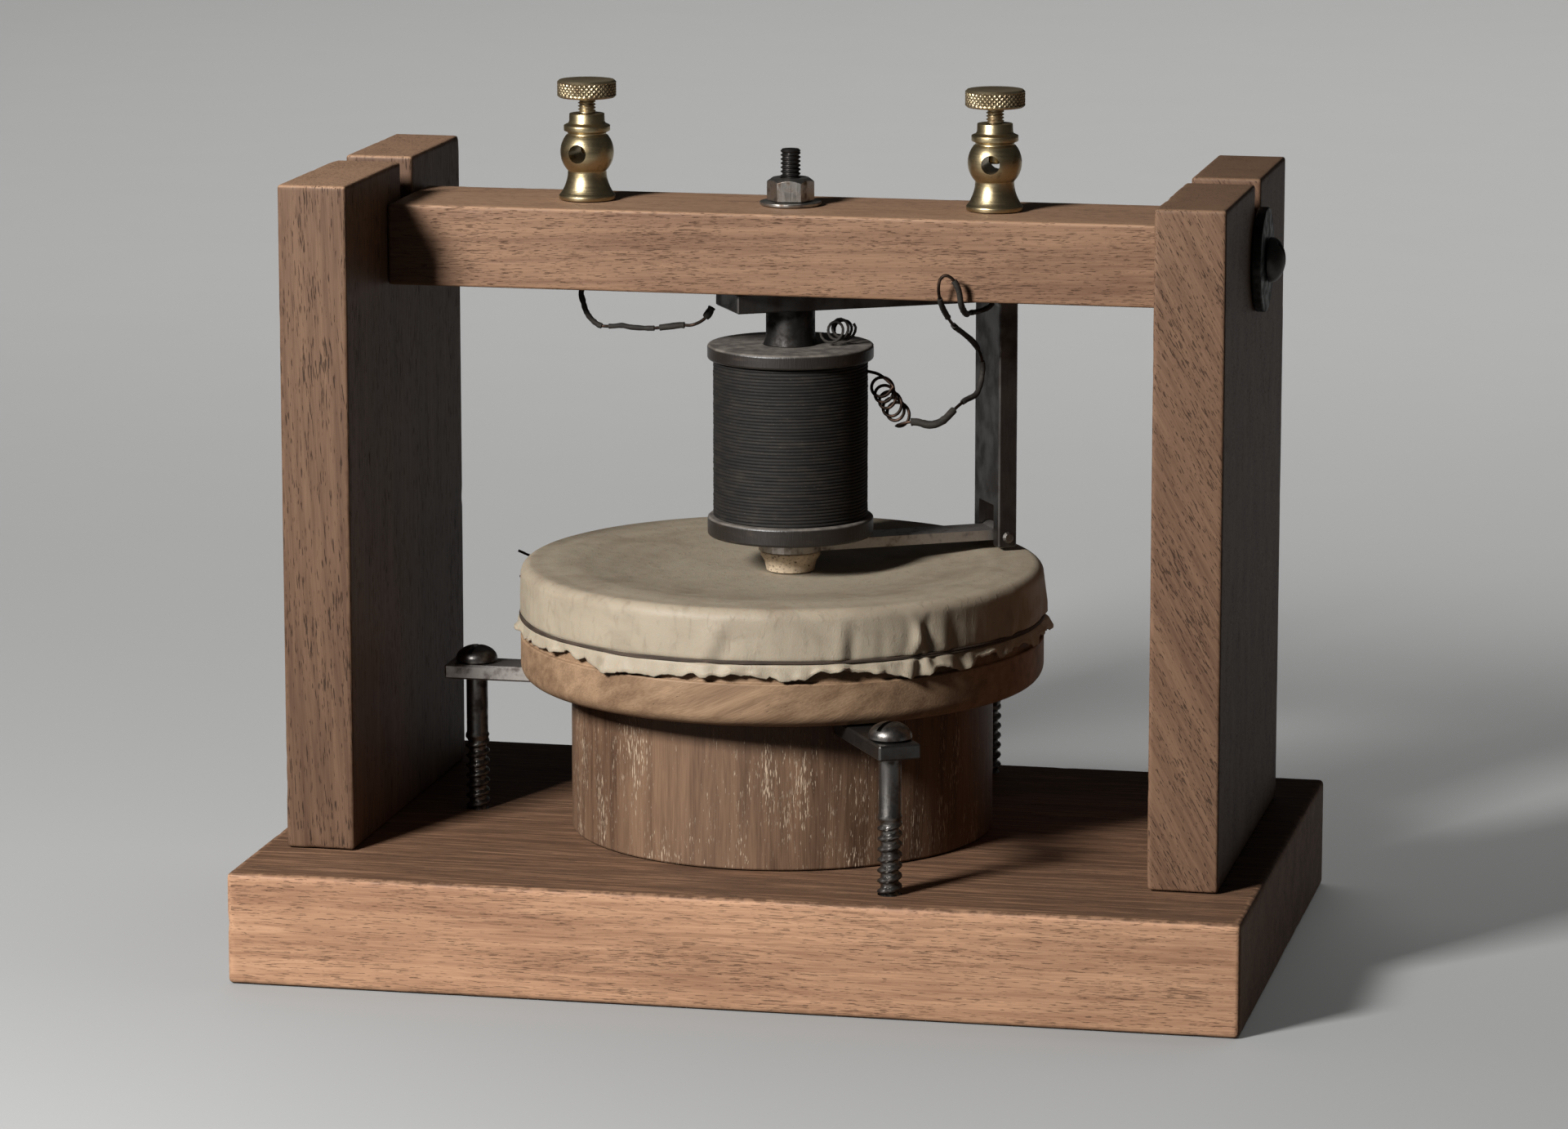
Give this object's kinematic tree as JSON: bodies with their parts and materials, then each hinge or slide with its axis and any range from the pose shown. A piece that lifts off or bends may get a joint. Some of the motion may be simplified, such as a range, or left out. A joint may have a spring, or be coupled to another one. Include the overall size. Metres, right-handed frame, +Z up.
{
  "type": "gallows-frame membrane telephone",
  "caption": "Antique electromagnetic telephone: a skin drum on a mahogany base, with an iron armature hinged under a coil that hangs from a height-adjustable crossbar.",
  "frame": {"origin": "centre of the base board's underside", "axes": "+Z up; +X along the base board, from the left post to the right; -Y towards the front"},
  "size_m": [0.2794, 0.1778, 0.2405],
  "materials": {
    "mahogany": "old French-polished mahogany, worn at its edges",
    "turned_wood": "dark stained turned wood, satin",
    "ebonised_wood": "black-stained turned wood, satin",
    "parchment": "stretched translucent skin, aged cream, satin",
    "tie_thread": "dark waxed thread",
    "dark_iron": "dark oxidised wrought iron, oiled",
    "steel": "aged bright steel with light tarnish",
    "brass": "aged lacquered brass, knurled knobs",
    "silk_wound_wire": "copper wire with dark silk covering",
    "cork": "pale cork, matt"
  },
  "bodies": {
    "stand": {"base_board": "mahogany", "left_post": "mahogany", "right_post": "mahogany", "left_post_front_screw": "steel", "left_post_back_screw": "steel", "right_post_front_screw": "steel", "right_post_back_screw": "steel", "sound_cylinder": "turned_wood", "drum_hoop": "turned_wood", "membrane": "parchment", "tie_thread": "tie_thread", "hold_down_lug_1": "dark_iron", "hold_down_lug_2": "dark_iron", "hold_down_lug_3": "dark_iron", "hold_down_screw_1": "steel", "hold_down_screw_2": "steel", "hold_down_screw_3": "steel", "lug_screw_1": "steel", "lug_screw_2": "steel", "lug_screw_3": "steel"},
    "crossbar_carriage": {"crossbar": "mahogany", "left_clamp_washer": "steel", "right_clamp_washer": "steel", "yoke": "dark_iron", "magnet_core": "dark_iron", "core_nut": "steel", "core_washer": "steel", "bobbin_top_flange": "ebonised_wood", "bobbin_bottom_flange": "ebonised_wood", "bobbin_tube": "ebonised_wood", "coil_winding": "silk_wound_wire", "armature_pin": "steel", "left_binding_post": "brass", "right_binding_post": "brass", "left_lead": "silk_wound_wire", "right_lead": "silk_wound_wire", "coil_lead_curl": "silk_wound_wire", "coil_tail_curl": "silk_wound_wire"},
    "left_clamp": {"left_clamp_screw": "steel"},
    "right_clamp": {"right_clamp_screw": "steel"},
    "armature": {"armature_lever": "dark_iron", "cork_button": "cork"},
    "left_spindle": {"left_thumb_spindle": "brass"},
    "left_knob": {"left_thumb_knob": "brass"},
    "right_spindle": {"right_thumb_spindle": "brass"},
    "right_knob": {"right_thumb_knob": "brass"}
  },
  "joints": [
    {"name": "crossbar_slide", "type": "slide", "parent": "stand", "child": "crossbar_carriage", "axis": [0, 0, 1], "range_m": [0, 0.006]},
    {"name": "armature_hinge", "type": "hinge", "parent": "crossbar_carriage", "child": "armature", "pos_m": [0.05109, 0.03628, 0.11095], "axis": [-0.509, 0.8607, 0], "range_deg": [0, 0.95]},
    {"name": "left_clamp_turn", "type": "hinge", "parent": "crossbar_carriage", "child": "left_clamp", "pos_m": [-0.1318, 0.005, 0.19545], "axis": [-1, 0, 0], "range_deg": [0, 360]},
    {"name": "right_clamp_turn", "type": "hinge", "parent": "crossbar_carriage", "child": "right_clamp", "pos_m": [0.129, 0.005, 0.19545], "axis": [1, 0, 0], "range_deg": [0, 360]},
    {"name": "left_spindle_slide", "type": "slide", "parent": "crossbar_carriage", "child": "left_spindle", "axis": [0, 0, 1], "range_m": [0, 0.0024]},
    {"name": "left_knob_turn", "type": "hinge", "parent": "left_spindle", "child": "left_knob", "pos_m": [-0.06, 0.005, 0.235], "axis": [0, 0, 1], "range_deg": [0, 1080]},
    {"name": "right_spindle_slide", "type": "slide", "parent": "crossbar_carriage", "child": "right_spindle", "axis": [0, 0, 1], "range_m": [0, 0.0024]},
    {"name": "right_knob_turn", "type": "hinge", "parent": "right_spindle", "child": "right_knob", "pos_m": [0.0558, 0.005, 0.235], "axis": [0, 0, 1], "range_deg": [0, 1080]}
  ],
  "couplings": [
    {"joint": "left_knob_turn", "follows": "left_spindle_slide", "rad_per_m": 7854},
    {"joint": "right_knob_turn", "follows": "right_spindle_slide", "rad_per_m": 7854}
  ]
}
